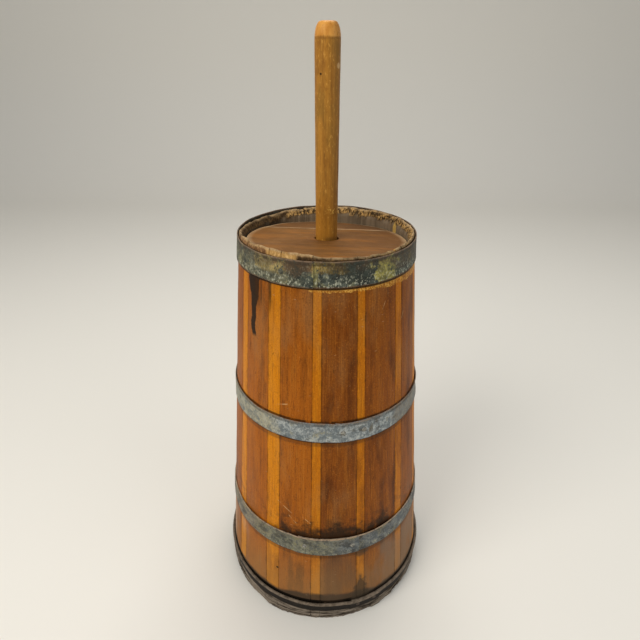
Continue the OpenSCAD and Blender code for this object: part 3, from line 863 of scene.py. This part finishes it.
def lid_board(name, hub, bore, front, seed, wood):
    """A board as rays from a hub: each runs from the bore to the board's edge, which is the lid's circle or
    the straight joint, whichever comes first. The section goes out along the top, down the edge, back
    underneath and up the bore, with worn round arrises, and the top is a little cupped.
    """
    corner = math.sqrt(LID_R ** 2 - JOINT_Y ** 2)
    ends = [math.atan2(JOINT_Y - hub[1], end - hub[0]) for end in (corner, -corner)]
    ray = np.sort(np.concatenate([np.linspace(-math.pi, math.pi, 240, endpoint=False), ends]))[:, None]
    run_x, run_y = np.cos(ray), np.sin(ray)
    along = hub[0] * run_x + hub[1] * run_y
    to_circle = -along + np.sqrt(along ** 2 + LID_R ** 2 - hub[0] ** 2 - hub[1] ** 2)
    side = run_y if front else -run_y
    to_joint = abs(JOINT_Y - hub[1]) / np.maximum(side, 1e-6)
    limit = np.where(side > 1e-6, np.minimum(to_joint, to_circle), to_circle) - (0.0002 if front else 0)
    worn = 0.0014
    bend = np.radians([90, 68, 45, 22, 0])
    flat = limit - worn - bore
    top_share = np.array([0, 0.12, 0.28, 0.46, 0.64, 0.8, 0.92])
    low_share = np.array([0.9, 0.6, 0.3, 0.0])
    out = np.concatenate([bore + top_share * flat, limit - worn + worn * np.cos(bend),
                          limit - worn * np.array([0.5, 0.5]), bore + low_share * flat], 1)
    level = np.concatenate([np.full(top_share.size, LID_TOP), LID_TOP - worn + worn * np.sin(bend),
                            [LID_LOW + 0.001, LID_LOW], np.full(low_share.size, LID_LOW)])[None, :]
    x, y = hub[0] + out * run_x, hub[1] + out * run_y
    upper = smooth(level, LID_LOW + 0.002, LID_TOP - 0.002)
    z = level - upper * (0.0003 + 0.00035 * ripple(x * 22, y * 95, seed))
    if bore:
        z = z - 0.0008 * (out < bore + 0.002) * (level > LID_TOP - 0.001)
    points = cocked(x, y, z)
    faces = grid_faces(*x.shape, closed_rows=True, closed_columns=True)
    piece = link_mesh(name + "_wood", points.reshape(-1, 3), faces)
    top_arris = smooth(level, LID_TOP - 0.004, LID_TOP - 0.0008)
    give_points(piece, x.shape, "rim", (1 - smooth(limit - out, 0.0004, 0.0032)) * top_arris, caps=0)
    give_points(piece, x.shape, "seam", y - JOINT_Y, caps=0)
    close_seams(piece)
    piece.data.materials.append(wood)
    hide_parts(name)
    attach(piece, "lid")


def lid_wood():
    """Bare brown wood, darker at the right and the back, scuffed, and worn pale at its rim and joint."""
    wood = Finish("lid_board", WAXY, OILED)
    turned = wood.node("ShaderNodeMapping", None, {"Vector": wood.place, "Rotation": ALONG_X})
    bands, fibres, streaks, pores = wood_grain(wood, turned.outputs[0], 0.013, 0.5)
    wear = wood.noise(wood.place, 22, 4.0, 0.6)
    worn_off = (wear * 1.3).step(0.35, 0.7)
    seam = wood.read("seam")
    wood.colour = wood.mix((streaks * 1.1 + bands * 0.25 + wear * 0.4 - 0.4).step(0.0, 1.0),
                               paint(96, 60, 26), paint(124, 82, 37))
    wood.lay((fibres + wear * 0.7 - 0.5).step(0.1, 0.8) * 0.6, paint(146, 100, 50))
    wood.lay(wood.axis("X").step(-0.02, 0.09) * 0.45, paint(90, 56, 30))
    wood.lay(wood.axis("Y").step(0.02, 0.09) * 0.4, paint(74, 54, 38))
    wood.lay(pores * 0.4, paint(62, 38, 18))
    wood.lay(wear.step(0.55, 0.8) * 0.4, paint(112, 84, 58))
    gilt = wood.noise(wood.stretched(wood.place, (0.5, 1, 1), (0.4, 0.1, 0)), 34, 4.0, 0.6)
    wood.lay((gilt * 0.8 + streaks * 0.3).step(0.50, 0.72) * 0.5, paint(158, 98, 34))
    scuffs = wood.noise(wood.stretched(wood.place, (0.10, 1, 1), (0.2, 0.3, 0)), 360, 2.0, 0.6)
    wood.lay(scuffs.step(0.66, 0.74) * wear.step(0.42, 0.62) * 0.45, paint(184, 142, 92))
    wood.lay(seam.step(-0.0001, 0.0001) * 0.35, paint(78, 54, 36))
    wood.lay(seam.within(-0.0022, -0.0002, 0.0012) * worn_off * 0.6, paint(172, 140, 98))
    wood.lay(seam.within(0.0002, 0.0012, 0.0006) * 0.8, paint(40, 26, 16))
    wood.lay(wood.read("rim") * worn_off * 0.85, paint(190, 160, 120))
    return wood.finished(0.5 + streaks * 0.25, fibres * 0.4 + streaks * 0.7 - pores * 0.3, 0.0007, 0.75)


board_finish = lid_wood()
lid_board("lid_front_board", (0.0, 0.0), HOLE_R, True, 5, board_finish)
lid_board("lid_back_board", (0.0, (JOINT_Y + LID_R) / 2), 0.0, False, 8, board_finish)
batten_wood = board_wood("batten_wood", ALONG_Y, paint(88, 58, 34), paint(124, 88, 54), paint(156, 120, 80))
refinish(batten_wood, "lid_batten_left", "lid_batten_right")


# ---- Dasher: a round shaft, polished by hands, with a rounded top, tenoned and wedged into a cross. ----
# The shaft is a straight-grained pole, a little out of round. The cross is two bored arms, halved together.

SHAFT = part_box("dasher_shaft")
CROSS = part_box("dasher_arm_lower")
SHAFT_FOOT_R = 0.0125
TENON_R = 0.009
DOME_H = 0.017


def shaft(name):
    """A turned solid: a ring of points at each height, from the tenon's end up to the rounded top.

    The dome is a quarter of a superellipse from the side to a small flat. Ripples put it out of round.
    """
    top, shoulder, end = SHAFT[1].z, CROSS[1].z, SHAFT[0].z
    side = np.linspace(shoulder, top - DOME_H, 110)
    side_r = np.interp(side, [shoulder, top - DOME_H], [SHAFT_FOOT_R, SHAFT_TOP_R])
    arc = np.radians(np.linspace(5, 90, 18))
    flat = 0.42
    dome_r = SHAFT_TOP_R * (flat + (1 - flat) * np.cos(arc) ** 0.75)
    dome_z = top - DOME_H + DOME_H * np.sin(arc) ** 0.9
    profile_r = np.concatenate([[0, TENON_R, TENON_R], side_r, dome_r, [SHAFT_TOP_R * flat * 0.5, 0]])
    profile_z = np.concatenate([[end, end, shoulder], side, dome_z, [top, top]])
    profile_r, profile_z = profile_r[:, None], profile_z[:, None]
    turn = np.linspace(0, 2 * math.pi, 72, endpoint=False)[None, :]
    above_tenon = profile_r > TENON_R * 1.05
    uneven = 0.00022 * (ripple(np.cos(turn) * 2, profile_z * 14, 3) - 1) * above_tenon
    uneven = uneven + 0.00012 * ripple(np.sin(turn) * 3, profile_z * 60, 9) * above_tenon - 0.0001
    radius = np.maximum(profile_r + uneven * (profile_z < top - 0.002), 0) * (profile_r > 0)
    points = turned_points(radius, turn, profile_z)
    piece = link_mesh(name + "_pole", points.reshape(-1, 3), grid_faces(*radius.shape, closed_columns=True))
    close_seams(piece)
    return piece


def shaft_wood():
    """Golden wood polished by hands: a paler cap, a hole with painted shade, a nick, a pale crust and a
    bleached foot, and painted shade down its right side.
    """
    wood = Finish("shaft_pole", WAXY, OILED)
    bands, fibres, streaks, pores = wood_grain(wood, wood.place, 0.008, 0.35)
    height, across = wood.axis("Z"), wood.axis("X")
    patches = wood.noise(wood.stretched(wood.place, (1, 1, 0.4)), 60, 4.0, 0.6)
    wood.colour = wood.mix((streaks * 1.2 + bands * 0.25 - 0.25).step(0.0, 1.0),
                               paint(132, 86, 32), paint(174, 118, 44))
    wood.lay((fibres + patches * 0.6 - 0.45).step(0.1, 0.85) * 0.75, paint(194, 138, 58))
    wood.lay(pores * 0.35, paint(84, 56, 26))
    wood.lay(patches.step(0.5, 0.70) * 0.5, paint(112, 84, 36))
    wood.lay(patches.step(0.46, 0.32) * 0.4, paint(110, 64, 26))
    wood.lay(height.step(0.60, 0.52) * 0.4, paint(168, 114, 34))
    wood.lay(height.within(0.7246, 0.7262, 0.0012) * 0.3, paint(112, 70, 28))
    capped = (height + (patches - 0.5) * 0.004).step(0.7254, 0.7280)
    wood.lay(capped * 0.9, wood.mix(patches.step(0.35, 0.65), paint(184, 118, 46), paint(222, 158, 76)))
    flecks = wood.noise(wood.stretched(wood.place, (1, 1, 0.5)), 430, 2.0, 0.6)
    wood.lay(flecks.step(0.58, 0.70) * 0.45, paint(214, 158, 74))
    wood.lay(flecks.step(0.42, 0.30) * 0.35, paint(110, 68, 26))
    # Painted shade: the right side of the shaft is darker, away from the light.
    wood.lay(across.step(0.001, 0.011) * 0.35, paint(88, 62, 34))
    # Painted shade: the hole is a dark spot, dented by the bump, with the shade inside it painted on.
    hole = wood.near((-0.0068, -0.0117, 0.6937), 0.0008, 0.0006)
    wood.lay(hole * 0.9, paint(40, 24, 12))
    wood.lay(wood.near((0.0116, -0.0069, 0.7010), 0.0018, 0.0018) * 0.6, paint(206, 170, 120))
    rubbed = height.within(0.515, 0.521, 0.004) * patches.step(0.4, 0.6)
    wood.lay(rubbed * 0.5, paint(70, 46, 26))
    crust = height.within(0.552, 0.556, 0.003) * across.step(-0.004, 0.006)
    crust = crust * wood.noise(wood.place, 520, 3.0, 0.6).step(0.52, 0.62)
    wood.lay(crust * 0.85, paint(214, 166, 78))
    wet = (height + (patches - 0.5) * 0.06).step(0.50, 0.36)
    wood.lay(wet * 0.6, paint(158, 138, 108))
    grip = 0.34 + streaks * 0.2 + wet * 0.25 - capped * 0.16
    return wood.finished(grip, fibres * 0.3 + streaks * 0.5 - pores * 0.2 - hole * 3, 0.0006, 0.6)


pole = shaft("dasher_shaft")
pole.data.materials.append(shaft_wood())
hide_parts("dasher_shaft")
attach(pole, "dasher")

cross_tones = (paint(122, 96, 66), paint(164, 134, 98), paint(192, 166, 130))
refinish(board_wood("lower_arm_wood", ALONG_X, *cross_tones), "dasher_arm_lower")
refinish(board_wood("upper_arm_wood", ALONG_Y, *cross_tones), "dasher_arm_upper")
refinish(board_wood("wedge_wood", ALONG_Z, *cross_tones), "dasher_wedge")
